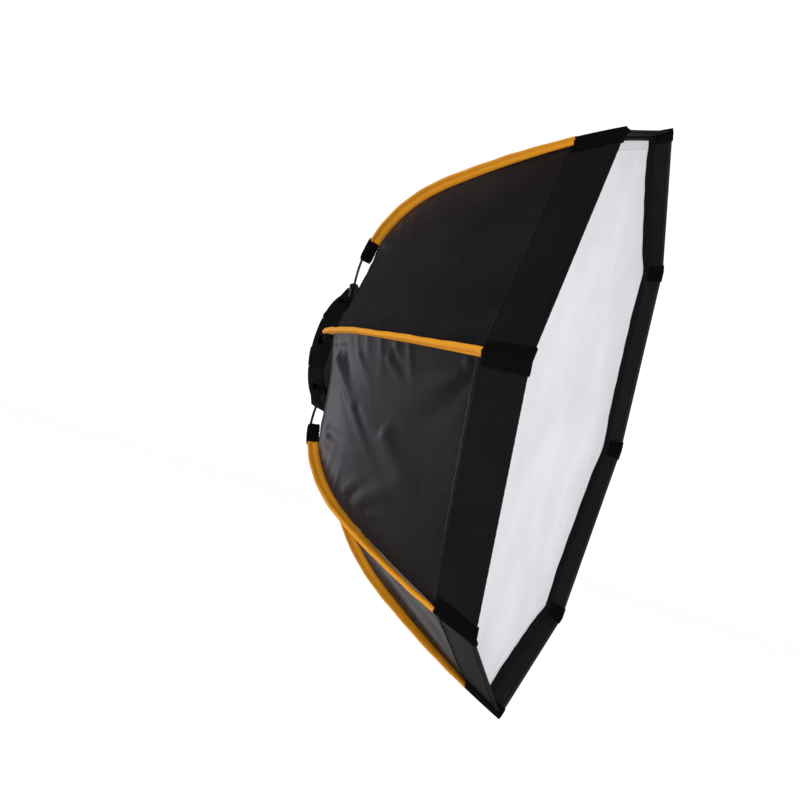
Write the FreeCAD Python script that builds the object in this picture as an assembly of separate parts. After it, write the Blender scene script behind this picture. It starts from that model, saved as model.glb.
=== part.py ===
import FreeCAD, Part
import math
import os

# Studio softbox with eight folding ribs. Millimetres.
# The origin is the centre of the seat face that meets the light. The light is on the +Y side,
# the softbox opens towards -Y, +Z is up, and rib 1 stands straight up.
# A place is written (f, r): f forward of the seat face, r out from the mount's axis.

# ---- overall sizes ----
ribs = 8
front_radius = 400.0          # axis to a front corner of the cloth, along a rib
depth = 372.0                 # seat face to the front edge of the cloth
cloth = 1.2                   # shell cloth with its lining
soft_gap = 0.35               # air between neighbouring soft pieces

# ---- light mount ----
bore_r = 49.0
spigot_wall = 3.0
spigot_len = 12.0
lug_high = 7.0
lug_len = 5.0
lug_angle = 40.0
lugs = 3
neck_wall = 11.0
neck_end = 34.0               # f of the neck's front face
seat_lip = 22.0               # seat flange beyond the neck
seat_thick = 4.0
ring_lip = 8.0                # retaining ring beyond the neck
ring_thick = 4.0
ring_screws = 4
ring_screw_r = 1.5
ring_screw_len = 14.0
ring_head_r = 2.8
ring_head_thick = 1.6

# ---- rotating speed ring ----
turn_fit = 0.05               # radial running clearance on the neck
end_play = 0.15
washer_thick = 0.7
collar_wall = 25.0            # neck to a flat, at the back of the collar
collar_flare = 7.0            # how much further out a flat is at the front
slot_wall = 5.0               # wall left behind each arm's slot
side_screw_r = 1.5
side_screw_len = 8.0
side_head_r = 2.8
side_head_high = 1.8
side_screw_back = 3.4         # from the collar's rear face to the screw's axis
side_screw_corner = 5.2       # from the end of the flat to the screw

# ---- arms ----
pivot_f = 20.0
pivot_out = 20.0              # neck to the pivot
pin_r = 2.0
pin_bury = 6.0                # length of pin held in the collar, each side
pin_fit = 0.05
eye_r = 6.5
arm_width = 10.0
arm_side_gap = 0.5
web_width = 6.0
socket_skin = 3.4             # socket's wall around the rod
socket_len = 18.0
socket_wall = 2.0             # solid end of the socket, behind the rod

# ---- rods, along the rib's line ----
rod_r = 1.6
rod_fit = 0.2
rod_ahead = 14.0              # from the pivot forward to the mouth of the arm's socket
rod_out = 37.0                # and outward
rod_start_angle = 77.5        # degrees above the mount's axis
bend_radius = 289.0
bend_angle = 46.0             # how far the bend near the hub turns
rod_short = 6.0               # the rod stops this far behind the front edge

# ---- sleeves and tabs ----
hub_edge = 87.0               # length of rib line from the socket to the cloth's hub edge
sleeve_lead = 3.5             # the sleeve starts this far behind the cloth's hub edge
tab_len = 34.0                # webbing tab behind the sleeve
tab_depth = 53.0              # corner tab, measured back from the front edge
rod_stand_hub = 12.0          # rod's height over the cloth at the hub edge
rod_stand_front = 2.5         # and at the front edge
sleeve_cover = 1.2            # sleeve outside the rod's channel
sleeve_wall = 0.5             # sleeve beside the channel
tab_wall = 1.2                # webbing tab beside the channel
tab_half_seam = 11.5          # half width of the corner tab at the seam
tab_half_front = 17.0         # and at the front edge
tab_skin = 2.0
tab_wrap = 18.0               # how far the corner tab turns back inside the lip
tab_cap = 1.2                 # thickness of the tab over the front edge
tab_stations = 6              # sections along the tab, which keep it on the curved cloth
ridge_half = 4.5
ridge_skin = 1.2

# ---- front diffuser ----
diffuser_back = 30.0          # from the front edge back to the diffuser
sheet = 0.8
border_width = 16.0
border_thick = 1.5

# ---- inner baffle ----
baffle_f = 185.0
baffle_radius = 215.0
strap_width = 15.0
strap_thick = 1.0

step = 360.0 / ribs
half = math.radians(step / 2.0)
spigot_r = bore_r + spigot_wall
lug_r = spigot_r + lug_high
neck_r = bore_r + neck_wall
seat_r = neck_r + seat_lip
ring_r = neck_r + ring_lip
collar_rear = neck_r + collar_wall
collar_front = collar_rear + collar_flare
side_screw_shift = collar_rear * math.tan(half) - side_screw_corner
pivot_r = neck_r + pivot_out
socket_r = rod_r + socket_skin
rod_start_f = pivot_f + rod_ahead
rod_start_r = pivot_r + rod_out
channel_r = rod_r + rod_fit
sleeve_over = channel_r + sleeve_cover
sleeve_thick = 2.0 * (channel_r + sleeve_wall)
tab_thick = 2.0 * (channel_r + tab_wall)
shaped = {}


def at(x, f, r):
    return FreeCAD.Vector(x, -f, r)


def turn(shape, degrees):
    moved = shape.copy()
    moved.rotate(FreeCAD.Vector(0, 0, 0), FreeCAD.Vector(0, 1, 0), degrees)
    return moved


def around(shape, count, first=0.0):
    return [turn(shape, first + i * 360.0 / count) for i in range(count)]


def save(name, shape):
    shaped[name] = shape
    shape.exportStep("parts/%s.step" % name)


def tube(outer, inner, f0, f1):
    forward = FreeCAD.Vector(0, -1, 0)
    body = Part.makeCylinder(outer, f1 - f0, at(0, f0, 0), forward)
    return body.cut(Part.makeCylinder(inner, f1 - f0, at(0, f0, 0), forward))


def octagon(f, flat_r):
    corner = flat_r / math.cos(half)
    points = []
    for i in range(ribs):
        angle = math.radians(i * step)
        points.append(at(corner * math.sin(angle), f, corner * math.cos(angle)))
    return Part.makePolygon(points + points[:1])


def frustum(f0, flat0, f1, flat1):
    return Part.makeLoft([octagon(f0, flat0), octagon(f1, flat1)], True, True)


# ---- the rib's line: a tight bend near the hub, then one gentle arc to the front corner ----
angle0 = math.radians(rod_start_angle)
angle1 = math.radians(rod_start_angle - bend_angle)
centre1 = (rod_start_f + bend_radius * math.sin(angle0), rod_start_r - bend_radius * math.cos(angle0))
bend_end = (centre1[0] - bend_radius * math.sin(angle1), centre1[1] + bend_radius * math.cos(angle1))
run = (depth - bend_end[0], front_radius + rod_stand_front - bend_end[1])
sweep2 = 2.0 * (angle1 - math.atan2(run[1], run[0]))
radius2 = math.hypot(run[0], run[1]) / (2.0 * math.sin(sweep2 / 2.0))
centre2 = (bend_end[0] + radius2 * math.sin(angle1), bend_end[1] - radius2 * math.cos(angle1))
bend_length = bend_radius * (angle0 - angle1)
line_length = bend_length + radius2 * sweep2


def line(s, out=0.0):
    """Point (f, r) at length s along the rib's line, moved outwards by out."""
    if s < 0.0:
        ahead = (math.cos(angle0), math.sin(angle0))
        return (rod_start_f + s * ahead[0] - out * ahead[1], rod_start_r + s * ahead[1] + out * ahead[0])
    if s < bend_length:
        centre, radius, angle = centre1, bend_radius, angle0 - s / bend_radius
    else:
        centre, radius, angle = centre2, radius2, angle1 - (s - bend_length) / radius2
    return (centre[0] - (radius + out) * math.sin(angle), centre[1] + (radius + out) * math.cos(angle))


def stand(s):
    """The rod's height over the cloth."""
    share = (s - hub_edge) / (line_length - hub_edge)
    return rod_stand_hub + (rod_stand_front - rod_stand_hub) * share * abs(share)


def cloth_line(s, inside=0.0):
    return line(s, -stand(s) - inside)


def find_s(f, inside=0.0):
    low, high = 0.0, line_length
    for _ in range(50):
        middle = (low + high) / 2.0
        if cloth_line(middle, inside)[0] < f:
            low = middle
        else:
            high = middle
    return low


def crease(f, inside=0.0):
    """Radius and slope of the cloth's crease under the rib, at f."""
    near = find_s(min(f, depth - 2.0), inside)
    here = cloth_line(near, inside)
    behind = cloth_line(near - 4.0, inside)
    slope = (here[1] - behind[1]) / (here[0] - behind[0])
    return here[1] + slope * (f - here[0]), slope


def spread(s0, s1, count):
    return [s0 + (s1 - s0) * i / (count - 1) for i in range(count)]


def strip(outer, inner, scale=1.0):
    """Flat face in the plane x = 0 between two runs of (f, r) points."""
    edges = []
    runs = [[at(0, f, r * scale) for f, r in points] for points in (outer, inner[::-1])]
    for points, after in ((runs[0], runs[1]), (runs[1], runs[0])):
        curve = Part.BSplineCurve()
        curve.interpolate(points)
        edges.append(curve.toShape())
        edges.append(Part.LineSegment(points[-1], after[0]).toShape())
    return Part.Face(Part.Wire(edges))


def plate(face, thick):
    moved = face.copy()
    moved.translate(FreeCAD.Vector(-thick / 2.0, 0, 0))
    return moved.extrude(FreeCAD.Vector(thick, 0, 0))


def rod_solid(radius, s0, s1):
    edges = [Part.LineSegment(at(0, *line(s0)), at(0, *line(0.0))).toShape()]
    for a, b in ((0.0, bend_length), (bend_length, s1)):
        edges.append(Part.Arc(at(0, *line(a)), at(0, *line((a + b) / 2.0)), at(0, *line(b))).toShape())
    ahead = FreeCAD.Vector(0, -math.cos(angle0), math.sin(angle0))
    ring = Part.Wire(Part.makeCircle(radius, at(0, *line(s0)), ahead))
    return Part.Wire(edges).makePipeShell([ring], True, True)


# ---- light mount ----
def make_mount():
    body = tube(seat_r, bore_r, 0.0, seat_thick)
    body = body.fuse(tube(neck_r, bore_r, seat_thick, neck_end))
    body = body.fuse(tube(spigot_r, bore_r, -spigot_len, 0.0))
    corners = [(spigot_r - 0.5, 0.0), (lug_r, 0.0), (lug_r, lug_len), (spigot_r - 0.5, lug_len)]
    points = [at(0, f - spigot_len, r) for r, f in corners]
    lug = Part.Face(Part.makePolygon(points + points[:1])).revolve(
        FreeCAD.Vector(0, 0, 0), FreeCAD.Vector(0, 1, 0), lug_angle)
    for piece in around(lug, lugs, -lug_angle / 2.0):
        body = body.fuse(piece)
    return body.removeSplitter()


def make_ring_screws():
    front = neck_end + ring_thick
    pitch_r = (bore_r + neck_r) / 2.0
    back = FreeCAD.Vector(0, 1, 0)
    shank = Part.makeCylinder(ring_screw_r, ring_screw_len, at(0, front, pitch_r), back)
    head = Part.makeCone(ring_head_r, ring_screw_r, ring_head_thick, at(0, front, pitch_r), back)
    slot = Part.makeBox(ring_head_r * 2.0, 0.6, 0.7)
    slot.translate(at(-ring_head_r, front, pitch_r - 0.35))
    return shank.fuse(head).removeSplitter(), slot


# ---- rotating ring ----
def make_side_screw():
    f = seat_thick + 2.0 * end_play + side_screw_back
    share = (f - seat_thick) / (neck_end - seat_thick)
    flat = collar_rear + (collar_front - collar_rear) * share
    up = FreeCAD.Vector(0, 0, 1)
    x = side_screw_shift
    shank = Part.makeCylinder(side_screw_r, side_screw_len, at(x, f, flat - side_screw_len), up)
    seat = Part.makeCylinder(side_head_r, side_head_high, at(x, f, flat - side_head_high / 2.0), up)
    dome_r = (side_head_r ** 2 + side_head_high ** 2) / (2.0 * side_head_high)
    ball = Part.makeSphere(dome_r, at(x, f, flat + side_head_high / 2.0 - dome_r))
    return shank.fuse(seat.common(ball)).removeSplitter()


def make_speed_ring(side_screws):
    f0 = seat_thick + 2.0 * end_play
    f1 = neck_end - 2.0 * end_play - washer_thick
    body = turn(frustum(f0, collar_rear, f1, collar_front), step / 2.0)
    body = body.cut(Part.makeCylinder(neck_r + turn_fit, f1 - f0, at(0, f0, 0), FreeCAD.Vector(0, -1, 0)))
    slot_width = arm_width + 2.0 * arm_side_gap
    floor = pivot_r - eye_r - 1.0
    slot = Part.makeBox(slot_width, neck_end - f0 - slot_wall, collar_front)
    slot.translate(at(-slot_width / 2.0, neck_end, floor))
    hole_len = slot_width + 2.0 * pin_bury
    hole = Part.makeCylinder(pin_r, hole_len, at(-hole_len / 2.0, pivot_f, pivot_r), FreeCAD.Vector(1, 0, 0))
    for cutter in around(slot, ribs) + around(hole, ribs):
        body = body.cut(cutter)
    for screw in side_screws:
        body = body.cut(screw)
    return body, hole


# ---- one rib ----
def make_arm():
    side = FreeCAD.Vector(1, 0, 0)
    ahead = FreeCAD.Vector(0, -math.cos(angle0), math.sin(angle0))
    eye = Part.makeCylinder(eye_r, arm_width, at(-arm_width / 2.0, pivot_f, pivot_r), side)
    socket = Part.makeCylinder(socket_r, socket_len, at(0, *line(-socket_len)), ahead)
    lip = Part.makeCylinder(socket_r + 1.0, 3.0, at(0, *line(-4.0)), ahead)
    low = line(-socket_len)
    away = math.atan2(low[1] - pivot_r, low[0] - pivot_f)
    points = []
    for centre, reach in (((pivot_f, pivot_r), eye_r * 0.9), (line(-4.0), socket_r * 0.9)):
        for sign in (1.0, -1.0):
            points.append(at(0, centre[0] - sign * reach * math.sin(away), centre[1] + sign * reach * math.cos(away)))
    web = Part.Face(Part.makePolygon([points[0], points[2], points[3], points[1], points[0]]))
    body = eye.fuse([socket, lip, plate(web, web_width)])
    hole = Part.makeCylinder(pin_r + pin_fit, arm_width, at(-arm_width / 2.0, pivot_f, pivot_r), side)
    rod_hole = Part.makeCylinder(rod_r, socket_len, at(0, *line(socket_wall - socket_len)), ahead)
    return body.cut(hole).cut(rod_hole).removeSplitter()


def make_sleeve(channel):
    s_end = find_s(depth - tab_depth)
    stations = spread(hub_edge - sleeve_lead, s_end, 12)
    outer = [line(s, sleeve_over) for s in stations]
    inner = [cloth_line(s, cloth) for s in stations]
    return plate(strip(outer, inner), sleeve_thick).cut(channel)


def band(f, half_width, low, high, ridge):
    """Cross-section of a tab folded over the cloth's crease, low to high square to the cloth."""
    r, slope = crease(f)
    c, s = math.cos(half), math.sin(half)
    low, high = (size * math.hypot(1.0, slope * c) for size in (low, high))
    right = [(half_width * c + high * s, r - half_width * s + high * c)]
    if ridge > 0.0:
        right.append((ridge_half, r + high / c - ridge_half * math.tan(half)))
        right.append((ridge_half * 0.6, r + ridge))
    else:
        right.append((ridge_half * 0.6, r + high / c - ridge_half * 0.6 * math.tan(half)))
        right.append((ridge_half * 0.3, r + high / c - ridge_half * 0.3 * math.tan(half)))
    left = [(-x, z) for x, z in right[::-1]]
    side = (half_width * c + low * s, r - half_width * s + low * c)
    below = [(-side[0], side[1]), (0.0, r + low / c), side]
    points = [at(x, f, z) for x, z in right + left + below]
    return Part.makePolygon(points + points[:1])


def folded_strip(first, last, low, high):
    """Loft of tab sections from first to last, each (f, half width, ridge), following the cloth's curve."""
    sections = []
    for i in range(tab_stations):
        share = i / (tab_stations - 1.0)
        f, half_width, ridge = [a + (b - a) * share for a, b in zip(first, last)]
        sections.append(band(f, half_width, low, high, ridge))
    return Part.makeLoft(sections, True, True)


def make_corner_tabs(channel):
    seam_f = depth - tab_depth
    edge_f = depth + soft_gap
    front_f = edge_f + tab_cap
    seam_ridge = stand(find_s(seam_f)) + rod_r + ridge_skin
    front_ridge = rod_stand_front + rod_r + ridge_skin
    high = soft_gap + tab_skin
    inside = -cloth - soft_gap
    outer = folded_strip((seam_f, tab_half_seam, seam_ridge), (front_f, tab_half_front, front_ridge), soft_gap, high)
    inner = folded_strip((depth - tab_wrap, tab_half_front, 0.0), (front_f, tab_half_front, 0.0),
                         inside - tab_skin, inside)
    cap = Part.makeLoft([band(f, tab_half_front, inside - tab_skin, high, front_ridge) for f in (edge_f, front_f)],
                        True, True)
    front = outer.fuse([cap, inner]).cut(channel).removeSplitter()
    sleeve_start = hub_edge - sleeve_lead
    stations = spread(sleeve_start - tab_len, sleeve_start - soft_gap, 5)
    face = strip([line(s, sleeve_over) for s in stations], [line(s, -rod_stand_hub) for s in stations])
    return Part.makeCompound([front.Solids[0], plate(face, tab_thick).cut(channel).Solids[0]])


# ---- shell cloth ----
def make_half_panel():
    """Half of the cloth between two ribs, on the +X side of the sector's middle plane."""
    stations = spread(hub_edge, line_length, 16)
    outer = [cloth_line(s) for s in stations]
    inner = [cloth_line(s, cloth) for s in stations]
    sheet_solid = strip(outer, inner, math.cos(half)).extrude(FreeCAD.Vector(front_radius, 0, 0))
    low, high = pivot_r, front_radius * 1.1
    rib_gap = (sleeve_thick / 2.0 + soft_gap) / math.cos(half)
    corners = [(soft_gap / 2.0, low), (soft_gap / 2.0, high),
               (high * math.tan(half) - rib_gap, high), (low * math.tan(half) - rib_gap, low)]
    points = [at(x, 0, z) for x, z in corners]
    wedge = Part.Face(Part.makePolygon(points + points[:1])).extrude(FreeCAD.Vector(0, -depth, 0))
    return sheet_solid.common(wedge)


# ---- diffuser and baffle ----
def make_front_diffuser():
    middle = depth - diffuser_back
    f0, f1 = middle - border_width / 2.0, middle + border_width / 2.0
    flats = [(crease(f, cloth)[0] - 2.0 * soft_gap) * math.cos(half) for f in (f0, f1)]
    border = frustum(f0, flats[0], f1, flats[1])
    border = border.cut(frustum(f0, flats[0] - border_thick, f1, flats[1] - border_thick))
    flat = (flats[0] + flats[1]) / 2.0 - border_thick - soft_gap
    return border, frustum(middle, flat, middle + sheet, flat)


def make_baffle():
    flat = baffle_radius * math.cos(half)
    cloth_sheet = frustum(baffle_f, flat, baffle_f + sheet, flat)
    start = baffle_radius + soft_gap
    length = crease(baffle_f - strap_thick, cloth)[0] - 2.0 * soft_gap - strap_width / 2.0 - start
    strap = Part.makeBox(strap_width, strap_thick, length)
    strap.translate(at(-strap_width / 2.0, baffle_f + strap_thick, start))
    return cloth_sheet, Part.makeCompound(around(strap, ribs))


def main():
    os.makedirs("parts", exist_ok=True)

    screw, slot = make_ring_screws()
    holes = around(screw, ring_screws, 45.0)
    save("ring_screws", Part.makeCompound([s.cut(k) for s, k in zip(holes, around(slot, ring_screws, 45.0))]))
    mount = make_mount()
    ring = tube(ring_r, bore_r, neck_end, neck_end + ring_thick)
    for hole in holes:
        mount = mount.cut(hole)
        ring = ring.cut(hole)
    save("mount_flange", mount)
    save("retaining_ring", ring)
    washer_f = neck_end - end_play - washer_thick
    save("friction_washer", tube(ring_r - 1.0, neck_r + 1.0, washer_f, washer_f + washer_thick))

    side_screws = around(make_side_screw(), ribs)
    save("side_screws", Part.makeCompound(side_screws))
    speed_ring, pin = make_speed_ring(side_screws)
    save("speed_ring", speed_ring)
    save("pivot_pins", Part.makeCompound(around(pin, ribs)))

    arm = make_arm()
    rod = rod_solid(rod_r, socket_wall - socket_len, line_length - rod_short)
    channel = rod_solid(channel_r, socket_wall - socket_len, line_length - rod_short + rod_fit)
    sleeve = make_sleeve(channel)
    tabs = make_corner_tabs(channel)
    panel = make_half_panel()
    other = panel.mirror(FreeCAD.Vector(0, 0, 0), FreeCAD.Vector(1, 0, 0))
    for i in range(ribs):
        angle = i * step
        save("arm_%d" % (i + 1), turn(arm, angle))
        save("rod_%d" % (i + 1), turn(rod, angle))
        save("sleeve_%d" % (i + 1), turn(sleeve, angle))
        save("corner_tabs_%d" % (i + 1), turn(tabs, angle))
        save("gore_%d_right" % (i + 1), turn(other, angle + step / 2.0))
        save("gore_%d_left" % (i + 1), turn(panel, angle - step / 2.0))

    border, sheet_solid = make_front_diffuser()
    save("diffuser_border", border)
    save("front_diffuser", sheet_solid)
    baffle, straps = make_baffle()
    save("inner_baffle", baffle)
    save("baffle_straps", straps)

    for name in sorted(shaped):
        shape = shaped[name]
        print("%-18s %s solids %2d volume %.1f" % (name, shape.isValid(), len(shape.Solids), shape.Volume))
    print("rib line %.1f, front arc radius %.0f" % (line_length, radius2))


main()
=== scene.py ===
import math
import bpy
import numpy as np
from mathutils import Matrix, Vector


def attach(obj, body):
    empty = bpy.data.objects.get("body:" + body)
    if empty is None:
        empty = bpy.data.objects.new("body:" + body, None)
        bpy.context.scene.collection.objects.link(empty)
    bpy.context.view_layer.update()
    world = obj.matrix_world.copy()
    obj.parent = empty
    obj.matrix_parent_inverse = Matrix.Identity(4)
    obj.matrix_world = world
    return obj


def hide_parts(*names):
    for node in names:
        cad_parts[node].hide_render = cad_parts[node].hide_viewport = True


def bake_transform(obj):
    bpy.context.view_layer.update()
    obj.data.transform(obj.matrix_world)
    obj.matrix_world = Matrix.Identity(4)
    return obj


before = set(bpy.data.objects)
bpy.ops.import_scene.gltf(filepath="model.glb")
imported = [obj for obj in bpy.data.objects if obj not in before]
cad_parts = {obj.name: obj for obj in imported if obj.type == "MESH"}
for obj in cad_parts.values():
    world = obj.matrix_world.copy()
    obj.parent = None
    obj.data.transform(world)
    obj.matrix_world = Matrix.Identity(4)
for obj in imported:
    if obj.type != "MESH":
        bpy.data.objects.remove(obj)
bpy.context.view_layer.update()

ribCount = 8
ribStep = 2 * math.pi / ribCount
halfStep = ribStep / 2
frontCorner = dict(radius=0.400, depth=0.372)      # out from the axis, forward of the seat
ribLine = dict(startF=0.034, startR=0.117, startAngle=77.5, bendRadius=0.289, bendAngle=46.0)
hubEdge = 0.087                                    # rib line's length from the arm to the cloth
seamDepth = 0.0575                                 # front band, from its seam to the front edge
tabDepth = 0.053                                   # corner tabs, and where the sleeves end
lipDepth = 0.036                                   # black lining inside the front edge
rodStand = dict(hub=0.012, front=0.0025)           # rod over the cloth
sleeveStart = hubEdge - 0.0065
tabLength = 0.034
cloth = 0.0011


# the rib's line
def makeLine():
    a0 = math.radians(ribLine["startAngle"])
    a1 = a0 - math.radians(ribLine["bendAngle"])
    big = ribLine["bendRadius"]
    c1 = (ribLine["startF"] + big * math.sin(a0), ribLine["startR"] - big * math.cos(a0))
    mid = (c1[0] - big * math.sin(a1), c1[1] + big * math.cos(a1))
    run = (frontCorner["depth"] - mid[0], frontCorner["radius"] + rodStand["front"] - mid[1])
    turn = 2 * (a1 - math.atan2(run[1], run[0]))
    wide = math.hypot(*run) / (2 * math.sin(turn / 2))
    c2 = (mid[0] + wide * math.sin(a1), mid[1] - wide * math.cos(a1))
    return a0, a1, c1, big, c2, wide, big * (a0 - a1), big * (a0 - a1) + wide * turn


a0, a1, centre1, radius1, centre2, radius2, bendLength, lineLength = makeLine()


# forward and outward place along the rib's line, as arrays
def lineAt(s, out=0.0):
    s = np.asarray(s, float)
    first = s < bendLength
    angle = np.where(first, a0 - s / radius1, a1 - (s - bendLength) / radius2)
    cf = np.where(first, centre1[0], centre2[0])
    cr = np.where(first, centre1[1], centre2[1])
    radius = np.where(first, radius1, radius2) + out
    return cf - radius * np.sin(angle), cr + radius * np.cos(angle), angle


def stand(s):
    share = (np.asarray(s, float) - hubEdge) / (lineLength - hubEdge)
    return rodStand["hub"] + (rodStand["front"] - rodStand["hub"]) * share * np.abs(share)


def clothAt(s, inside=0.0):
    return lineAt(s, -stand(s) - inside)


def findS(f):
    low, high = 0.0, lineLength
    for _ in range(50):
        mid = (low + high) / 2
        if float(clothAt(mid)[0]) < f:
            low = mid
        else:
            high = mid
    return low


seamS = findS(frontCorner["depth"] - seamDepth)
sleeveEnd = findS(frontCorner["depth"] - tabDepth)
frontS = findS(frontCorner["depth"])


# turn points about the mount's axis, +Z towards +X
def turned(points, angle):
    c, s = math.cos(angle), math.sin(angle)
    p = np.asarray(points, float)
    return np.stack([p[..., 0] * c + p[..., 2] * s, p[..., 1], -p[..., 0] * s + p[..., 2] * c], -1)


# mesh helpers
def link(obj):
    bpy.context.scene.collection.objects.link(obj)
    return obj


def gridSteps(grid):
    return np.gradient(grid, axis=0), np.gradient(grid, axis=1)


# a sheet of real thickness: outer grid, inner grid behind it, and the edges between them
def skin(name, outer, normals, thick, materials, uv, outerMat=0, innerMat=0, rimMat=0, closed=False):
    rows, cols = outer.shape[:2]
    inner = outer - normals * thick
    verts = np.concatenate([outer.reshape(-1, 3), inner.reshape(-1, 3)])
    count = rows * cols
    faces, mats, loopNormals, loopUv = [], [], [], []
    flatN, flatUv = normals.reshape(-1, 3), uv.reshape(-1, 2)
    outerMat = np.broadcast_to(outerMat, (rows - 1, cols))
    innerMat = np.broadcast_to(innerMat, (rows - 1, cols))
    p = outer
    sample = np.cross(p[1, 0] - p[0, 0], p[0, 1] - p[0, 0])
    flip = float(np.dot(sample, normals[0, 0])) < 0
    for i in range(rows - 1):
        for j in range(cols if closed else cols - 1):
            k = (j + 1) % cols
            quad = [i * cols + j, (i + 1) * cols + j, (i + 1) * cols + k, i * cols + k]
            if flip:
                quad.reverse()
            faces.append(quad)
            mats.append(int(outerMat[i, j]))
            loopNormals += [flatN[q] for q in quad]
            loopUv += [flatUv[q] for q in quad]
            back = [q + count for q in reversed(quad)]
            faces.append(back)
            mats.append(int(innerMat[i, j]))
            loopNormals += [-flatN[q - count] for q in back]
            loopUv += [flatUv[q - count] for q in back]
    edges = [(i * cols, (i + 1) * cols) for i in range(rows - 1)][::-1]
    edges = [(b, a) for a, b in edges] + [(j, j + 1) for j in range(cols - 1)]
    edges += [(i * cols + cols - 1, (i + 1) * cols + cols - 1) for i in range(rows - 1)]
    edges += [((rows - 1) * cols + j + 1, (rows - 1) * cols + j) for j in range(cols - 1)][::-1]
    if closed:
        poles = np.stack([verts[:cols].mean(0), verts[count:count + cols].mean(0)])
        verts = np.concatenate([verts, poles])
        for j in range(cols):
            k = (j + 1) % cols
            for ring, pole, sign in (([j, k], 2 * count, 1), ([k, j], 2 * count + 1, -1)):
                base = 0 if sign > 0 else count
                tri = [pole] + [q + base for q in ring]
                if flip:
                    tri.reverse()
                faces.append(tri)
                mats.append(0)
                for q in tri:
                    loopNormals.append(sign * (flatN[:cols].mean(0) if q == pole else flatN[q - base]))
                    loopUv.append(flatUv[:cols].mean(0) if q == pole else flatUv[q - base])
        edges = [((rows - 1) * cols + (j + 1) % cols, (rows - 1) * cols + j) for j in range(cols)]
    for a, b in edges:
        quad = [b, a, a + count, b + count]
        if flip:
            quad.reverse()
        corner = verts[quad]
        n = np.cross(corner[1] - corner[0], corner[2] - corner[1])
        n = n / max(np.linalg.norm(n), 1e-12)
        faces.append(quad)
        mats.append(rimMat)
        loopNormals += [n] * 4
        loopUv += [flatUv[q % count] for q in quad]
    mesh = bpy.data.meshes.new(name)
    mesh.from_pydata(verts.tolist(), [], faces)
    for material in materials:
        mesh.materials.append(material)
    border = {tuple(sorted(e)) for a, b in edges for e in ((a, b), (a + count, b + count))}
    for edge in mesh.edges:
        edge.use_edge_sharp = tuple(sorted(edge.vertices)) in border
    mesh.polygons.foreach_set("material_index", mats)
    mesh.polygons.foreach_set("use_smooth", [True] * len(faces))
    layer = mesh.uv_layers.new(name="cut")
    layer.data.foreach_set("uv", np.array(loopUv, np.float32).ravel())
    mesh.normals_split_custom_set([tuple(n) for n in loopNormals])
    mesh.update()
    return link(bpy.data.objects.new(name, mesh))


# material helpers
def newMaterial(name, **values):
    material = bpy.data.materials.new(name)
    material.use_nodes = True
    tree = material.node_tree
    shader = tree.nodes["Principled BSDF"]
    for key, value in values.items():
        shader.inputs[key.replace("_", " ")].default_value = value
    return material, tree, shader


def node(tree, kind, settings=None, **sockets):
    made = tree.nodes.new(kind)
    for key, value in (settings or {}).items():
        setattr(made, key, value)
    for key, value in sockets.items():
        plug(tree, value, made.inputs[key.replace("_", " ")])
    return made


def plug(tree, value, socket):
    if isinstance(value, bpy.types.NodeSocket):
        tree.links.new(value, socket)
    else:
        socket.default_value = value


def cutPlace(tree):
    return node(tree, "ShaderNodeUVMap", {"uv_map": "cut"}).outputs["UV"]


def objectPlace(tree):
    return node(tree, "ShaderNodeTexCoord").outputs["Object"]


def noise(tree, place, scale, detail=3.0, rough=0.5, stretch=None):
    if stretch:
        place = node(tree, "ShaderNodeMapping", Vector=place, Scale=stretch).outputs[0]
    made = node(tree, "ShaderNodeTexNoise", Vector=place, Scale=scale, Detail=detail, Roughness=rough)
    return made.outputs["Fac"]


def ramp(tree, fac, stops):
    made = node(tree, "ShaderNodeValToRGB", Fac=fac)
    cells = made.color_ramp.elements
    for i, (at, colour) in enumerate(stops):
        cell = cells[i] if i < 2 else cells.new(at)
        cell.position = at
        cell.color = (*colour, 1) if len(colour) == 3 else colour
    return made.outputs["Color"]


def maths(tree, how, a, b=0.0, clamp=False):
    made = node(tree, "ShaderNodeMath", {"operation": how, "use_clamp": clamp})
    plug(tree, a, made.inputs[0])
    plug(tree, b, made.inputs[1])
    return made.outputs[0]


def scaled(tree, fac, low, high):
    made = node(tree, "ShaderNodeMapRange", Value=fac)
    made.inputs["To Min"].default_value = low
    made.inputs["To Max"].default_value = high
    return made.outputs[0]


def bump(tree, height, distance, strength=1.0, under=None):
    made = node(tree, "ShaderNodeBump", Height=height, Distance=distance, Strength=strength)
    if under is not None:
        tree.links.new(under, made.inputs["Normal"])
    return made.outputs[0]


# even ridges a pitch apart
def ridges(tree, place, direction, pitch):
    look = {"bands_direction": direction, "wave_profile": "SIN"}
    return node(tree, "ShaderNodeTexWave", look, Vector=place, Scale=math.pi / (10 * pitch)).outputs["Fac"]


# over-and-under weave of two thread directions
def threads(tree, place, pitch):
    return maths(tree, "MULTIPLY", ridges(tree, place, "X", pitch), ridges(tree, place, "Y", pitch))


# finishes
shellCloth = dict(dark=(0.0066, 0.0060, 0.0075), pale=(0.0300, 0.0270, 0.0345), rough=(0.42, 0.60),
                  threadPitch=0.0009, shine=0.38, crease=0.0026)
bandFinish = dict(dark=(0.0066, 0.0062, 0.0070), pale=(0.0122, 0.0115, 0.0130), rough=(0.56, 0.74),
                  threadPitch=0.0011, shine=0.22, crease=0.0008)
hemFinish = dict(dark=(0.016, 0.0155, 0.017), pale=(0.034, 0.033, 0.036), rough=(0.5, 0.7),
                 threadPitch=0.0011, shine=0.3, crease=0.0004)
sleeveWeb = dict(deep=(0.38, 0.115, 0.002), bright=(0.70, 0.285, 0.007), ribPitch=0.0011, rough=(0.6, 0.75))
velvetPile = dict(dark=(0.0018, 0.0014, 0.0016), pale=(0.0052, 0.0042, 0.0046), sheen=0.004)
whiteSheet = dict(low=(0.635, 0.64, 0.67), high=(0.72, 0.725, 0.76), threadPitch=0.0007)


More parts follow.
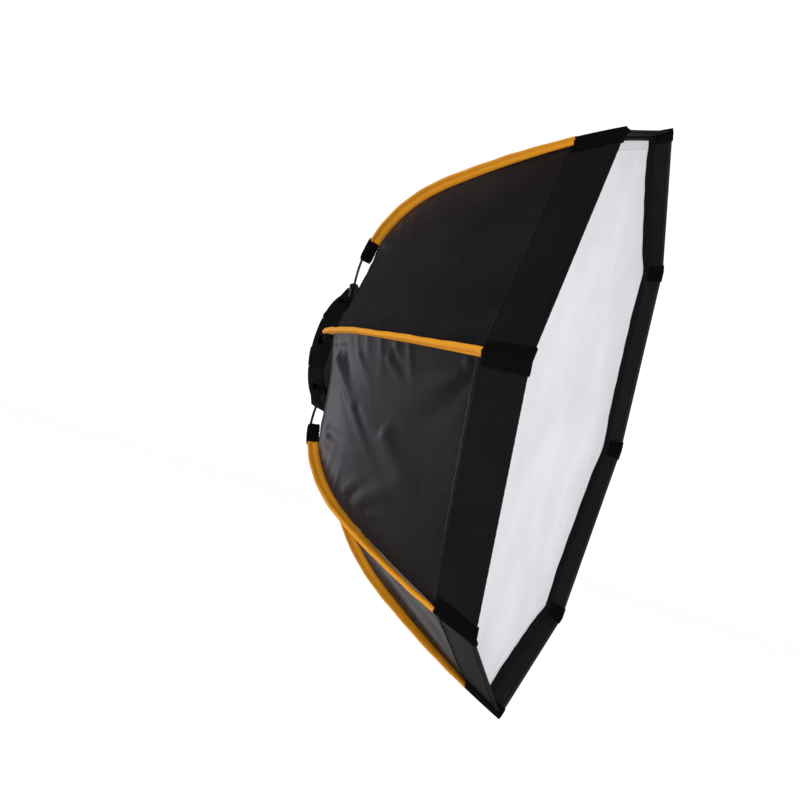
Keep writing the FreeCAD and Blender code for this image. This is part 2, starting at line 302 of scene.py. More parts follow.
def makeShellCloth(name, look):
    material, tree, shader = newMaterial(name, Specular_IOR_Level=look["shine"])
    place = cutPlace(tree)
    wide = noise(tree, place, 9.0, 4.0, 0.55)
    fine = noise(tree, place, 420.0, 2.0, 0.6)
    # paler near the hub: painted sheen lightens the colour there, and the cloth is also smoother there
    along = node(tree, "ShaderNodeSeparateXYZ", Vector=place).outputs["Y"]
    paintedSheen = maths(tree, "SUBTRACT", 1.08, maths(tree, "MULTIPLY", along, 2.5), clamp=True)
    shade = maths(tree, "ADD", scaled(tree, wide, 0.0, 0.4), scaled(tree, fine, 0.0, 0.2))
    # the painted sheen lifts the colour towards the hub
    shade = maths(tree, "ADD", shade, maths(tree, "MULTIPLY", paintedSheen, 0.45))
    colour = ramp(tree, shade, [(0.28, look["dark"]), (0.80, look["pale"])])
    tree.links.new(colour, shader.inputs["Base Color"])
    flat = maths(tree, "SUBTRACT", 1.0, maths(tree, "MULTIPLY", paintedSheen, 0.9))
    uneven = maths(tree, "ADD", maths(tree, "MULTIPLY", flat, 0.75), maths(tree, "MULTIPLY", wide, 0.25))
    tree.links.new(scaled(tree, uneven, *look["rough"]), shader.inputs["Roughness"])
    creases = noise(tree, place, 26.0, 5.0, 0.58, stretch=(1.0, 0.55, 1.0))
    soft = bump(tree, creases, look["crease"], 0.55)
    weave = bump(tree, threads(tree, place, look["threadPitch"]), 0.00012, 0.5, soft)
    tree.links.new(weave, shader.inputs["Normal"])
    return material


def makeSilver():
    material, tree, shader = newMaterial("silverBack", Metallic=0.85, Specular_IOR_Level=0.5)
    place = cutPlace(tree)
    wide = noise(tree, place, 30.0, 5.0, 0.6)
    colour = ramp(tree, wide, [(0.3, (0.46, 0.47, 0.49)), (0.7, (0.66, 0.67, 0.69))])
    tree.links.new(colour, shader.inputs["Base Color"])
    tree.links.new(scaled(tree, wide, 0.3, 0.5), shader.inputs["Roughness"])
    cells = node(tree, "ShaderNodeTexVoronoi", {"feature": "F1"}, Vector=place, Scale=240.0)
    cells = cells.outputs["Distance"]
    tree.links.new(bump(tree, cells, 0.0006, 0.5), shader.inputs["Normal"])
    return material


def makeSleeveWeb():
    material, tree, shader = newMaterial("sleeveWeb", Specular_IOR_Level=0.2)
    place = cutPlace(tree)
    split = node(tree, "ShaderNodeSeparateXYZ", Vector=place)
    across = split.outputs["X"]
    stops = ((0.0, 0.2), (0.12, 0.9), (0.3, 0.35), (0.5, 1.0), (0.7, 0.35), (0.88, 0.9), (1.0, 0.2))
    middle = ramp(tree, across, [(at, (level,) * 3) for at, level in stops])
    blotch = noise(tree, place, 60.0, 3.0, 0.6, stretch=(0.02, 1.0, 1.0))
    shade = maths(tree, "ADD", maths(tree, "MULTIPLY", middle, 0.7), maths(tree, "MULTIPLY", blotch, 0.3))
    colour = ramp(tree, shade, [(0.2, sleeveWeb["deep"]), (0.75, sleeveWeb["bright"])])
    tree.links.new(colour, shader.inputs["Base Color"])
    tree.links.new(scaled(tree, blotch, *sleeveWeb["rough"]), shader.inputs["Roughness"])
    ribs = ridges(tree, place, "Y", sleeveWeb["ribPitch"])
    tree.links.new(bump(tree, ribs, 0.00018, 0.7), shader.inputs["Normal"])
    return material


def makeVelvet():
    material, tree, shader = newMaterial("velvetPile", Sheen_Weight=velvetPile["sheen"], Sheen_Roughness=0.65,
                                         Roughness=0.95, Specular_IOR_Level=0.02)
    place = objectPlace(tree)
    tufts = noise(tree, place, 900.0, 3.0, 0.7)
    brushed = noise(tree, place, 60.0, 3.0, 0.6)
    shade = maths(tree, "ADD", scaled(tree, tufts, 0.0, 0.6), scaled(tree, brushed, 0.0, 0.4))
    colour = ramp(tree, shade, [(0.3, velvetPile["dark"]), (0.7, velvetPile["pale"])])
    tree.links.new(colour, shader.inputs["Base Color"])
    tree.links.new(bump(tree, tufts, 0.0011, 0.9), shader.inputs["Normal"])
    return material


def makeWhiteSheet():
    material, tree, shader = newMaterial("whiteSheet", Sheen_Weight=0.1, Sheen_Roughness=0.5,
                                         Specular_IOR_Level=0.3)
    place = cutPlace(tree)
    wide = noise(tree, place, 7.0, 3.0, 0.5)
    colour = ramp(tree, wide, [(0.3, whiteSheet["low"]), (0.7, whiteSheet["high"])])
    tree.links.new(colour, shader.inputs["Base Color"])
    tree.links.new(scaled(tree, wide, 0.62, 0.78), shader.inputs["Roughness"])
    weave = bump(tree, threads(tree, place, whiteSheet["threadPitch"]), 0.0001, 0.4)
    tree.links.new(weave, shader.inputs["Normal"])
    return material


def makeMoulded(name, dark, pale, rough, grain, metal=0.0):
    material, tree, shader = newMaterial(name, Metallic=metal, Specular_IOR_Level=0.45)
    place = objectPlace(tree)
    wide = noise(tree, place, 45.0, 4.0, 0.6)
    pits = noise(tree, place, 1500.0, 2.0, 0.6)
    tree.links.new(ramp(tree, wide, [(0.3, dark), (0.7, pale)]), shader.inputs["Base Color"])
    tree.links.new(scaled(tree, wide, *rough), shader.inputs["Roughness"])
    tree.links.new(bump(tree, pits, grain, 0.5), shader.inputs["Normal"])
    return material


# narrow woven tape
def makeTape(name, dark, pale, pitch):
    material, tree, shader = newMaterial(name, Sheen_Weight=0.01, Sheen_Roughness=0.5,
                                         Specular_IOR_Level=0.1)
    place = cutPlace(tree)
    wide = noise(tree, place, 200.0, 3.0, 0.6)
    tree.links.new(ramp(tree, wide, [(0.3, dark), (0.7, pale)]), shader.inputs["Base Color"])
    tree.links.new(scaled(tree, wide, 0.6, 0.85), shader.inputs["Roughness"])
    tree.links.new(bump(tree, threads(tree, place, pitch), 0.0004, 0.8), shader.inputs["Normal"])
    return material


blackCloth = makeShellCloth("shellCloth", shellCloth)
bandCloth = makeShellCloth("bandCloth", bandFinish)
hemCloth = makeShellCloth("hemCloth", hemFinish)
silverBack = makeSilver()
amberWeb = makeSleeveWeb()
velvet = makeVelvet()
whiteCloth = makeWhiteSheet()
blackWeb = makeTape("blackWeb", (0.003, 0.003, 0.0034), (0.007, 0.007, 0.0075), 0.0012)
elasticWeb = makeTape("elasticWeb", (0.01, 0.01, 0.01), (0.03, 0.03, 0.032), 0.001)
ringBlack = makeMoulded("ringBlack", (0.004, 0.004, 0.0044), (0.008, 0.008, 0.0085), (0.36, 0.50), 0.00005)
armBlack = makeMoulded("armBlack", (0.006, 0.006, 0.007), (0.011, 0.011, 0.012), (0.4, 0.56), 0.00006)
mountBlack = makeMoulded("mountBlack", (0.007, 0.007, 0.0075), (0.013, 0.013, 0.014), (0.3, 0.44),
                         0.00002, 0.1)
screwBright = makeMoulded("screwBright", (0.55, 0.55, 0.57), (0.75, 0.75, 0.77), (0.12, 0.25), 0.00001, 1.0)
pinSteel = makeMoulded("pinSteel", (0.36, 0.36, 0.37), (0.5, 0.5, 0.52), (0.25, 0.4), 0.00001, 1.0)
washerPale = makeMoulded("washerPale", (0.5, 0.5, 0.47), (0.62, 0.62, 0.58), (0.45, 0.6), 0.00003)
rodBlack = makeMoulded("rodBlack", (0.008, 0.008, 0.009), (0.014, 0.014, 0.015), (0.25, 0.4), 0.00003)
print("finishes ready")


# shell cloth
shellRelief = dict(sag=0.0045, scallop=0.009, seamDeep=0.0010, seamWide=0.0009, ridgeHigh=0.0006, hem=0.0062,
                   hemHigh=0.0007, hubHem=0.011, rowStep=0.0036, columns=52)
# the panel below rib 7 keeps creases from storage: across, along, its direction, length, width, height
keptFolds = {5: (
    (0.103, 0.260, -0.53, 0.85, 0.060, 0.0046, -0.0024),
    (0.093, 0.252, -0.45, 0.89, 0.060, 0.0050, 0.0020),
    (0.073, 0.158, -0.78, 0.62, 0.075, 0.0052, -0.0022),
    (0.083, 0.193, -0.68, 0.73, 0.070, 0.0052, 0.0024),
    (0.124, 0.396, -0.54, -0.84, 0.190, 0.0120, 0.0042),
    (0.118, 0.398, -0.76, -0.65, 0.170, 0.0100, -0.0034),
    (0.126, 0.384, -0.36, -0.93, 0.140, 0.0080, -0.0026),
    (0.050, 0.130, -0.62, 0.78, 0.230, 0.0075, -0.0034),
    (0.058, 0.138, -0.62, 0.78, 0.230, 0.0090, 0.0034),
    (0.020, 0.200, -0.60, 0.80, 0.150, 0.0070, -0.0028),
    (0.012, 0.262, -0.62, 0.78, 0.170, 0.0120, 0.0032),
    (-0.097, 0.216, 0.68, 0.74, 0.080, 0.0048, -0.0026),
    (-0.090, 0.206, 0.66, 0.75, 0.080, 0.0056, 0.0024),
    (-0.095, 0.262, 0.30, 0.95, 0.060, 0.0050, 0.0018),
    (-0.040, 0.120, 0.10, 0.99, 0.130, 0.0060, -0.0026),
    (-0.050, 0.126, 0.08, 0.99, 0.120, 0.0070, 0.0024))}
puckers = dict(perSide=9, first=0.012, last=0.20, lean=(0.05, 0.45), length=(0.035, 0.095),
               width=(0.0040, 0.0070), height=(0.0010, 0.0022))
longFolds = dict(count=4, first=0.02, last=0.18, lean=(0.7, 1.25), length=(0.12, 0.2),
                 width=(0.008, 0.014), height=(0.0018, 0.0034))


def halfWidth(s):
    return clothAt(s)[1] * math.sin(halfStep)


# one fold that rises softly at x0, s0 and dies away along its direction
def fold(x, s, x0, s0, dx, ds, length, wide, high):
    along = (x - x0) * dx + (s - s0) * ds
    across = (s - s0) * dx - (x - x0) * ds
    t = np.clip(along / length, 0, 1)
    start = np.clip(along / 0.014 + 0.25, 0, 1)
    crest = high * (1 - t) ** 2 * start ** 2 * (3 - 2 * start)
    return crest * np.exp(-(across / (wide * (1 + 1.2 * t))) ** 2)


# puckers under the sleeves and a few long folds, their own for each panel
def panelFolds(sector):
    rng = np.random.default_rng(40 + sector)
    folds = []
    for side in (-1.0, 1.0):
        starts = np.linspace(hubEdge + puckers["first"], hubEdge + puckers["last"], puckers["perSide"])
        for place in starts:
            s0 = place + rng.uniform(-0.008, 0.008)
            lean = rng.uniform(*puckers["lean"])
            folds.append((side * float(halfWidth(s0)), s0, -side * math.cos(lean), math.sin(lean),
                          rng.uniform(*puckers["length"]), rng.uniform(*puckers["width"]),
                          rng.uniform(*puckers["height"])))
    folds += keptFolds.get(sector, ())
    for _ in range(longFolds["count"]):
        side = rng.choice([-1.0, 1.0])
        s0 = rng.uniform(hubEdge + longFolds["first"], hubEdge + longFolds["last"])
        lean = rng.uniform(*longFolds["lean"])
        across = side * float(halfWidth(s0)) * rng.uniform(0.4, 0.9)
        folds.append((across, s0, -side * math.cos(lean), math.sin(lean), rng.uniform(*longFolds["length"]),
                      rng.uniform(*longFolds["width"]), rng.uniform(*longFolds["height"])))
    waves = []
    for _ in range(4):
        waves.append((rng.uniform(20, 60), rng.uniform(-30, 30), rng.uniform(0, 6.28),
                      rng.uniform(0.0002, 0.0006)))
    return folds, waves


# height of the cloth over the straight panel
def relief(folds, waves, x, s):
    share = np.clip(x / np.maximum(halfWidth(s), 1e-6), -1, 1)
    run = np.clip((s - hubEdge) / (seamS - hubEdge), 0, 1)
    high = -shellRelief["sag"] * (1 - share ** 2) * np.sin(math.pi * run)
    inPanel = np.clip((seamS - 0.004 - s) / 0.02, 0, 1)
    for f in folds:
        high = high + fold(x, s, *f) * inPanel
    edge = 1 - share ** 4
    for kx, ks, phase, size in waves:
        high = high + size * edge * (0.1 + 0.9 * inPanel) * np.sin(kx * x + ks * s + phase)
    off = (s - seamS) / shellRelief["seamWide"]
    beside = np.exp(-((off + 3.0) / 1.5) ** 2) + 0.6 * np.exp(-((off - 2.6) / 1.3) ** 2)
    high = high - shellRelief["seamDeep"] * np.exp(-off ** 2)
    high = high + shellRelief["ridgeHigh"] * beside
    gather = 0.00035 * np.sin(x * 330 + 1.3 * np.sin(x * 90)) * np.exp(-((s - seamS) / 0.012) ** 2)
    inFront = s - (frontS - shellRelief["hem"])
    hem = shellRelief["hemHigh"] * np.clip(inFront / 0.0010, 0, 1)
    hem = hem - 0.0005 * np.exp(-((inFront + 0.0007) / 0.0007) ** 2)
    pucker = 0.0002 * np.sin(x * 700 + 2 * np.sin(x * 130)) * np.clip(1 + inFront / 0.01, 0, 1)
    back = np.exp(-((s - hubEdge) / 0.009) ** 2)
    hubSeam = -0.0006 * np.exp(-((s - hubEdge - shellRelief["hubHem"]) / 0.0009) ** 2)
    besideRib = np.abs(x) - halfWidth(s) + 0.0145
    stitch = -0.0005 * np.exp(-(besideRib / 0.0009) ** 2) * np.clip((0.12 - s + hubEdge) / 0.03, 0, 1)
    return high + gather + hem + pucker + hubSeam + stitch + back * (0.0005 + 0.0004 * np.sin(x * 260))


# points of a panel with its middle plane at x = 0, straight up
def panelPoints(folds, waves, x, s):
    f, r, angle = clothAt(s)
    lean = np.arctan(np.tan(angle) * math.cos(halfStep))
    high = relief(folds, waves, x, s)
    return np.stack([x, -f + high * np.sin(lean), r * math.cos(halfStep) + high * np.cos(lean)], -1)


def rowPlaces():
    rows = list(np.arange(hubEdge, frontS, shellRelief["rowStep"]))
    nearSeam = (-6, -4.5, -3.7, -3, -2.3, -1.6, -1, -0.5, 0, 0.5, 1, 1.6, 2.2, 2.8, 3.6, 4.6)
    rows += [seamS + d * shellRelief["seamWide"] for d in nearSeam]
    start = frontS - shellRelief["hem"]
    rows += [start + d for d in (-0.0016, -0.0009, -0.0003, 0.0004, 0.0011, 0.002)]
    rows += [hubEdge + d for d in (0.0015, 0.003, 0.007)] + [frontS]
    rows += [hubEdge + shellRelief["hubHem"] + d for d in (-0.0012, -0.0006, 0, 0.0006, 0.0012)]
    rows = np.array(sorted(rows))
    keep = np.concatenate([[True], np.diff(rows) > 0.00028])
    return rows[keep]


# side -1 left of the rib, +1 right of it; the panel's middle plane is half a step further
def makeHalfPanel(rib, side):
    sector = rib if side > 0 else (rib - 1) % ribCount
    folds, waves = panelFolds(sector)
    rows = rowPlaces()
    cols = np.linspace(0, 1, shellRelief["columns"]) ** 1.1
    s = np.repeat(rows[:, None], len(cols), 1)
    toMiddle = np.repeat(cols[None, :], len(rows), 0)
    s = s + shellRelief["scallop"] * np.sin(toMiddle * math.pi / 2) * np.clip(1 - (s - hubEdge) / 0.1, 0, 1)
    x = -side * halfWidth(s) * (1 - toMiddle)
    tiny = 0.0004
    points = panelPoints(folds, waves, x, s)
    byX = panelPoints(folds, waves, x + tiny, s) - panelPoints(folds, waves, x - tiny, s)
    byS = panelPoints(folds, waves, x, s + tiny) - panelPoints(folds, waves, x, s - tiny)
    normals = np.cross(byX, byS)
    normals /= np.linalg.norm(normals, axis=-1, keepdims=True)
    if normals[0, 0, 2] < 0:
        normals = -normals
    angle = sector * ribStep + halfStep
    which = "right" if side > 0 else "left"
    rowAt = rows[:-1, None]
    atHub = rowAt < hubEdge + shellRelief["hubHem"]
    # material numbers follow the list: cloth, silver, band, hem
    banded = np.where((rowAt >= seamS - 0.0001) | atHub, 2, 0)
    inside = np.where(rowAt > findS(frontCorner["depth"] - lipDepth), 2, 1)
    inside = np.where(atHub, 2, inside)
    inside = np.where(rowAt > frontS - 0.7 * shellRelief["hem"], 3, inside)
    panel = skin("shellPanel_%d_%s" % (rib + 1, which), turned(points, angle), turned(normals, angle), cloth,
                 [blackCloth, silverBack, bandCloth, hemCloth], np.stack([x + sector * 0.7, s], -1),
                 outerMat=banded, innerMat=inside, rimMat=3)
    half = "gore_%d_%s" % (rib + 1, which)
    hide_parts(half)
    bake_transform(panel)


for rib in range(ribCount):
    for side in (-1, 1):
        makeHalfPanel(rib, side)
print("shell panels ready")


# sleeves
sleeveShape = dict(
    wall=0.0006,
    # half-outlines in millimetres, foot to foot over the rod: sideways, height over the cloth as a share
    upright=((-0.7, 0.0), (-0.9, 0.30), (-1.3, 0.56), (-2.5, 0.76), (-2.3, 0.92), (0.0, 1.0),
             (2.3, 0.92), (2.5, 0.76), (1.3, 0.56), (0.9, 0.30), (0.7, 0.0)),
    leaning=((-5.4, 0.02), (-5.3, 0.30), (-4.4, 0.58), (-3.0, 0.82), (-0.6, 0.99), (1.6, 1.0),
             (3.9, 0.84), (4.6, 0.60), (3.6, 0.38), (0.2, 0.20), (-3.8, 0.04)),
    over=0.0022, rows=84)


# a rounded line through given points
def smoothOutline(points, steps):
    p = np.array(points, float)
    p = np.concatenate([2 * p[:1] - p[1:2], p, 2 * p[-1:] - p[-2:-1]])
    out = []
    for i in range(1, len(p) - 2):
        for t in np.linspace(0, 1, steps, endpoint=False):
            a, b, c, d = p[i - 1:i + 3]
            square, cube = 2 * a - 5 * b + 4 * c - d, 3 * b - a - 3 * c + d
            out.append(0.5 * (2 * b + (c - a) * t + square * t ** 2 + cube * t ** 3))
    out.append(p[-2])
    return np.array(out)


# point and outward direction on rib 1
def ribFrame(s, out):
    f, r, angle = lineAt(s, out)
    zero = np.zeros_like(f)
    point = np.stack([zero, -f, r], -1)
    outward = np.stack([zero, np.sin(angle), np.cos(angle)], -1)
    return point, outward


# a thin wall swept along the rib: outlines[i] are (sideways, outward) offsets in metres at s[i]
def sweptSkin(name, s, outlines, base, wall, materials, angle, uvWide=1.0):
    point, outward = ribFrame(s, base)
    side = np.array([1.0, 0, 0])
    grid = point[:, None, :] + outlines[..., :1] * side + outlines[..., 1:] * outward[:, None, :]
    rows, cols = gridSteps(grid)
    normals = np.cross(rows, cols)
    normals /= np.maximum(np.linalg.norm(normals, axis=-1, keepdims=True), 1e-12)
    top = grid.shape[1] // 2
    if np.dot(normals[1, top], outward[1]) < 0:
        normals = -normals
    along = np.repeat(np.asarray(s)[:, None], grid.shape[1], 1)
    girth = np.repeat(np.linspace(0, uvWide, grid.shape[1])[None, :], len(s), 0)
    uv = np.stack([girth, along], -1)
    return skin(name, turned(grid, angle), turned(normals, angle), wall, materials, uv)


def makeSleeve(rib):
    rng = np.random.default_rng(300 + rib)
    s = np.linspace(sleeveStart, sleeveEnd + 0.001, sleeveShape["rows"])
    upright = smoothOutline(sleeveShape["upright"], 4)
    leaning = smoothOutline(sleeveShape["leaning"], 4)
    share = np.clip((s - hubEdge) / (sleeveEnd - hubEdge), 0, 1) ** 1.3
    high = stand(s) + sleeveShape["over"]
    outline = upright[None] * (1 - share[:, None, None]) + leaning[None] * share[:, None, None]
    outline = outline * np.stack([np.full_like(s, 0.001), high], -1)[:, None, :]
    phase = rng.uniform(0, 6.28, 3)
    wobble = 0.00035 * np.sin(s * 70 + phase[0]) + 0.0002 * np.sin(s * 190 + phase[1])
    rise = np.linspace(0, 1, outline.shape[1])
    outline[..., 0] += wobble[:, None] * np.sin(rise * math.pi)[None, :]
    outline[..., 1] += (0.0002 * np.sin(s * 150 + phase[2]))[:, None] * np.sin(rise * math.pi)[None, :]
    outline[..., 1] -= stand(s)[:, None]
    name = "rodSleeve_%d" % (rib + 1)
    piece = sweptSkin(name, s, outline, 0.0, sleeveShape["wall"], [amberWeb], rib * ribStep)
    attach(piece, "rib_%d" % (rib + 1))
    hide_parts("sleeve_%d" % (rib + 1))


for rib in range(ribCount):
    makeSleeve(rib)
print("sleeves ready")


# webbing tab at each sleeve's hub end
hubTab = dict(wall=0.0013, over=0.0036, foot=-0.0125, half=0.0029)


def makeHubTab(rib):
    s = np.linspace(sleeveStart - tabLength, sleeveStart + 0.0015, 22)
    low, high, half = hubTab["foot"], hubTab["over"], hubTab["half"]
    shape = [(-half * 0.55, low), (-half * 0.8, low * 0.5), (-half, 0.0), (-half * 0.7, high * 0.8),
             (0, high),
             (half * 0.7, high * 0.8), (half, 0.0), (half * 0.8, low * 0.5), (half * 0.55, low)]
    outline = np.repeat(smoothOutline(shape, 4)[None], len(s), 0)
    rng = np.random.default_rng(500 + rib)
    outline[..., 0] += 0.0003 * np.sin(s * 240 + rng.uniform(0, 6))[:, None]
    outline[..., 1] += rng.normal(0, 0.00018, outline.shape[:2]) * np.sign(outline[..., 1])
    ends = np.exp(-((s - s[0]) / 0.002) ** 2)
    outline[..., 1] -= (0.0008 * ends)[:, None] * np.sign(outline[..., 1])
    name = "hubTab_%d" % (rib + 1)
    piece = sweptSkin(name, s, outline, 0.0, hubTab["wall"], [velvet], rib * ribStep, 0.034)
    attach(piece, "rib_%d" % (rib + 1))


# velvet tabs over the front corners
cornerTab = dict(halfSeam=0.0142, halfFront=0.0158, gap=0.0004, pile=0.0017, wrap=0.020,
                 front=0.0013, ridge=0.0044)


# outside from the seam to the front edge, round it, and back inside: forward place, height, share of width
def tabPath():
    depth = frontCorner["depth"]
    start = depth - tabDepth
    gap, pile, turnR = cornerTab["gap"], cornerTab["pile"], cornerTab["front"]
    outside = [(f, gap + pile) for f in np.linspace(start, depth - 0.001, 16)]
    middle = (gap + pile - cloth - gap - pile) / 2
    reach = (gap + pile) - middle
    bend = np.linspace(0.2, math.pi - 0.2, 9)
    nose = [(depth + turnR * math.sin(t), middle + reach * math.cos(t)) for t in bend]
    inside = [(f, -cloth - gap - pile) for f in np.linspace(depth - 0.001, depth - cornerTab["wrap"], 8)]
    return outside + nose + inside


def makeCornerTab(rib, side):
    rng = np.random.default_rng(700 + 10 * rib + side)
    path = tabPath()
    cols = np.linspace(0, 1, 13)
    grid = np.zeros((len(path), len(cols), 3))
    start, fEnd = frontCorner["depth"] - tabDepth, frontCorner["depth"]
    fray = rng.normal(0, 0.0004, len(path))
    for i, (f, high) in enumerate(path):
        near = findS(min(f, fEnd))
        cf, cr, angle = (float(v) for v in clothAt(near))
        slope = math.tan(angle)
        r = cr + slope * (f - cf)
        share = np.clip((f - start) / tabDepth, 0, 1)
        half = cornerTab["halfSeam"] + (cornerTab["halfFront"] - cornerTab["halfSeam"]) * share + fray[i]
        outward = 1.0 if high > 0 else 0.0
        rodHigh = float(stand(near)) + 0.0022
        across = cols * half
        bulge = outward * max(0.0, rodHigh - high) * np.exp(-(across / cornerTab["ridge"]) ** 2)
        roll = 0.0007 * np.clip((cols - 0.86) / 0.14, 0, 1) ** 2 * (1 if high > 0 else -1)
        level = high + bulge - roll
        lean = level * math.sin(halfStep) * np.clip(cols * 4, 0, 1)
        grid[i, :, 0] = side * (across * math.cos(halfStep) + lean)
        grid[i, :, 1] = -f + level * math.sin(angle)
        grid[i, :, 2] = r - across * math.sin(halfStep) + level * math.cos(angle)
    rows, across = gridSteps(grid)
    normals = np.cross(rows, across)
    normals /= np.maximum(np.linalg.norm(normals, axis=-1, keepdims=True), 1e-12)
    if normals[2, 6, 2] < 0:
        normals = -normals
    normals[:, 0, 0] = 0
    normals /= np.maximum(np.linalg.norm(normals, axis=-1, keepdims=True), 1e-12)
    angle = rib * ribStep
    which = "right" if side > 0 else "left"
    uv = np.stack(np.meshgrid(cols * 0.02, np.linspace(0, 0.1, len(path))), -1)
    piece = skin("cornerTab_%d_%s" % (rib + 1, which), turned(grid, angle), turned(normals, angle),
                 cornerTab["pile"] * 0.85, [velvet], uv)
    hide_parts("corner_tabs_%d" % (rib + 1))
    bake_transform(piece)


for rib in range(ribCount):
    makeHubTab(rib)
    for side in (-1, 1):
        makeCornerTab(rib, side)
print("tabs ready")


# front diffuser and inner baffle
frontSheet = dict(recess=0.030, thick=0.0006)
baffleSheet = dict(f=0.185, corner=0.2148, thick=0.0006)
hemShare, hemStep = 0.966, 0.0025                  # a round sheet's stitches, as shares of its radius


# radius of a straight-sided octagon with corners on the ribs
def octagonR(angle, corner):
    local = (angle + halfStep) % ribStep - halfStep
    return corner * math.cos(halfStep) / np.cos(halfStep - np.abs(local))


def roundSheet(name, f, corner, thick, material, depthOf, rings, spokes,
               body, cadNode):
    share = np.linspace(0.0, 1.0, rings) ** 0.8
    share[0] = 0.02
    share = np.unique(np.concatenate([share, hemShare + hemStep * np.arange(-3, 4)]))
    rings = len(share)
    angles = np.linspace(0, 2 * math.pi, spokes, endpoint=False)
    reach = octagonR(angles, corner)
    r = share[:, None] * reach[None, :]
    a = np.repeat(angles[None, :], rings, 0)
    x, z = r * np.sin(a), r * np.cos(a)
    forward = depthOf(a, share[:, None] * np.ones_like(r))
    grid = np.stack([x, -(f + forward), z], -1)
    rows = np.gradient(grid, axis=0)
    cols = (np.roll(grid, -1, 1) - np.roll(grid, 1, 1)) / 2
    normals = np.cross(rows, cols)
    normals /= np.maximum(np.linalg.norm(normals, axis=-1, keepdims=True), 1e-12)
    normals[normals[..., 1] > 0] *= -1
    sheet = skin(name, grid, normals, thick, [material], np.stack([x, z], -1), closed=True)
    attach(sheet, body)
    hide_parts(cadNode)


# shallow dish with soft folds that run in from the corners
def frontFolds(a, share):
    toCorner = np.abs((a + halfStep) % ribStep - halfStep)
    dish = -0.004 * (1 - share ** 2)
    cornerPull = 0.0028 * np.exp(-(toCorner / 0.10) ** 2) * share ** 3
    soft = 0.0016 * np.sin(3 * a + 0.6) * np.sin(math.pi * share)
    soft = soft + 0.0011 * np.sin(7 * a + 2.1 + 3 * share) * share ** 2 * (1 - share)
    hem = 0.0009 * np.exp(-((share - hemShare) / 0.0035) ** 2)
    hem = hem + 0.0003 * np.sin(46 * a + 2.2 * np.sin(5 * a)) * share ** 6
    slack = 0.0030 * np.sin(4 * a + 1.0 + 2.5 * share) * np.sin(math.pi * share) ** 2
    crease = np.exp(-((a - 4.35 + 0.5 * (1 - share)) / 0.018) ** 2)
    slack = slack + 0.0012 * crease * share ** 2 * (1 - share ** 8)
    slack = slack - 0.0010 * np.exp(-((a - 4.95 + 0.3 * share) / 0.022) ** 2) * share * (1 - share ** 6)
    return dish + cornerPull + soft + hem + slack


def baffleFolds(a, share):
    dish = -0.005 * (1 - share ** 2)
    soft = 0.0012 * np.sin(5 * a + 1.1) * np.sin(math.pi * share)
    return dish + soft + 0.0006 * np.sin(30 * a) * share ** 8


whereSheet = frontCorner["depth"] - frontSheet["recess"]
cornerAt = clothAt(findS(whereSheet), cloth)
frontCornerR = float(cornerAt[1]) - 0.0036
roundSheet("frontDiffuser", whereSheet, frontCornerR, frontSheet["thick"], whiteCloth, frontFolds, 44, 192,
           "diffuser", "front_diffuser")
roundSheet("innerBaffle", baffleSheet["f"], baffleSheet["corner"], baffleSheet["thick"], whiteCloth,
           baffleFolds, 30, 128, "baffle", "inner_baffle")
print("diffuser and baffle ready")


# CAD pieces that stay
finishOf = dict(mount_flange=mountBlack, retaining_ring=mountBlack, ring_screws=screwBright,
                friction_washer=washerPale, speed_ring=ringBlack, side_screws=screwBright,
                pivot_pins=pinSteel, diffuser_border=blackWeb, baffle_straps=elasticWeb)
for rib in range(ribCount):
    finishOf["arm_%d" % (rib + 1)] = armBlack
    finishOf["rod_%d" % (rib + 1)] = rodBlack
for name, material in finishOf.items():
    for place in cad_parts[name].material_slots:
        place.material = material
print("frame finishes ready")


# floor, light, camera
studio = dict(floorZ=-1.5, floorR=30.0, sky=(1.0, 1.0, 1.0), skyPower=1.075)
lamps = (
    dict(name="backLow", place=(0.65, 2.10, -0.50), aim=(-0.25, -0.1, -0.1),
         size=0.85, power=9.5, colour=(0.96, 0.92, 1)),
    dict(name="farLow", place=(2.0, 0.68, -1.0), aim=(-0.05, -0.25, -0.35),
         size=1.0, power=7, colour=(1, 0.98, 0.97)),
    dict(name="fillFront", place=(-2.0, -1.7, -0.8), aim=(-0.1, -0.2, -0.2),
         size=1.2, power=14, colour=(1, 1, 1)),
    dict(name="topSoft", place=(-0.2, 0.2, 3.4), aim=(0, -0.2, 0),
         size=2.4, power=6, colour=(1, 1, 1)))
viewPoint = dict(place=(-1.3740, -0.6042, -0.1337), ahead=(0.9403, 0.3348, 0.0616),
                 up=(-0.1538, 0.2562, 0.9543), lens=47.43)


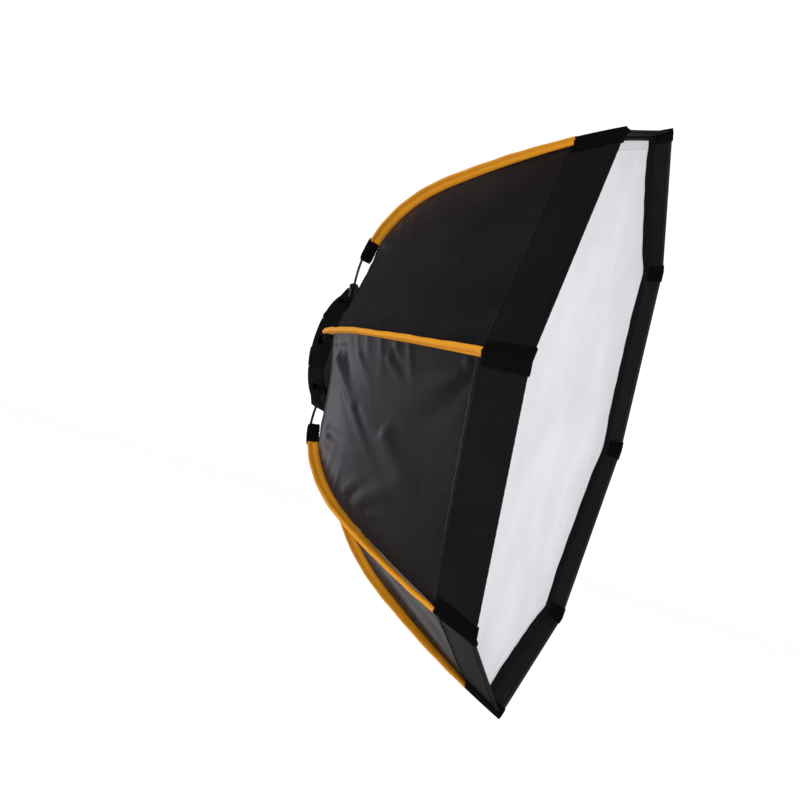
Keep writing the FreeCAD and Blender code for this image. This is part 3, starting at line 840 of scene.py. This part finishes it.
def makeFloor():
    turns, rings = 96, 6
    reach, low = studio["floorR"], studio["floorZ"]
    verts, faces = [(0, 0, low)], []
    for i in range(1, rings + 1):
        for j in range(turns):
            t = 2 * math.pi * j / turns
            verts.append((reach * i / rings * math.cos(t), reach * i / rings * math.sin(t), low))
    for j in range(turns):
        faces.append((0, 1 + j, 1 + (j + 1) % turns))
    for i in range(rings - 1):
        for j in range(turns):
            a, b = 1 + i * turns + j, 1 + i * turns + (j + 1) % turns
            faces.append((a, a + turns, b + turns, b))
    mesh = bpy.data.meshes.new("floor")
    mesh.from_pydata(verts, [], faces)
    material, tree, shader = newMaterial("floorPale", Roughness=0.9, Specular_IOR_Level=0.1)
    shade = noise(tree, objectPlace(tree), 2.0, 2.0, 0.5)
    pale = ramp(tree, shade, [(0.3, (0.955, 0.957, 0.96)), (0.7, (0.965, 0.967, 0.97))])
    tree.links.new(pale, shader.inputs["Base Color"])
    mesh.materials.append(material)
    floor = link(bpy.data.objects.new("floor", mesh))
    floor.visible_glossy = False


def makeLamp(lamp):
    data = bpy.data.lights.new(lamp["name"], "AREA")
    data.energy, data.size, data.color = lamp["power"], lamp["size"], lamp["colour"]
    obj = link(bpy.data.objects.new(lamp["name"], data))
    obj.location = lamp["place"]
    obj.visible_camera = False
    obj.rotation_euler = (Vector(lamp["aim"]) - Vector(lamp["place"])).to_track_quat("-Z", "Y").to_euler()


def makeCamera():
    data = bpy.data.cameras.new("camera")
    data.lens, data.sensor_width, data.clip_end = viewPoint["lens"], 36.0, 60.0
    obj = link(bpy.data.objects.new("camera", data))
    ahead, up = Vector(viewPoint["ahead"]).normalized(), Vector(viewPoint["up"]).normalized()
    right = ahead.cross(up).normalized()
    up = right.cross(ahead)
    turn = Matrix((right, up, -ahead)).transposed()
    obj.matrix_world = Matrix.Translation(viewPoint["place"]) @ turn.to_4x4()
    bpy.context.scene.camera = obj


makeFloor()
for lamp in lamps:
    makeLamp(lamp)
makeCamera()
world = bpy.data.worlds.new("studio")
world.use_nodes = True
world.node_tree.nodes["Background"].inputs["Color"].default_value = (*studio["sky"], 1)
world.node_tree.nodes["Background"].inputs["Strength"].default_value = studio["skyPower"]
bpy.context.scene.world = world
world.cycles_visibility.glossy = False             # the cloth mirrors the lamps only
bpy.context.scene.view_settings.view_transform = "Standard"
print("stage ready")
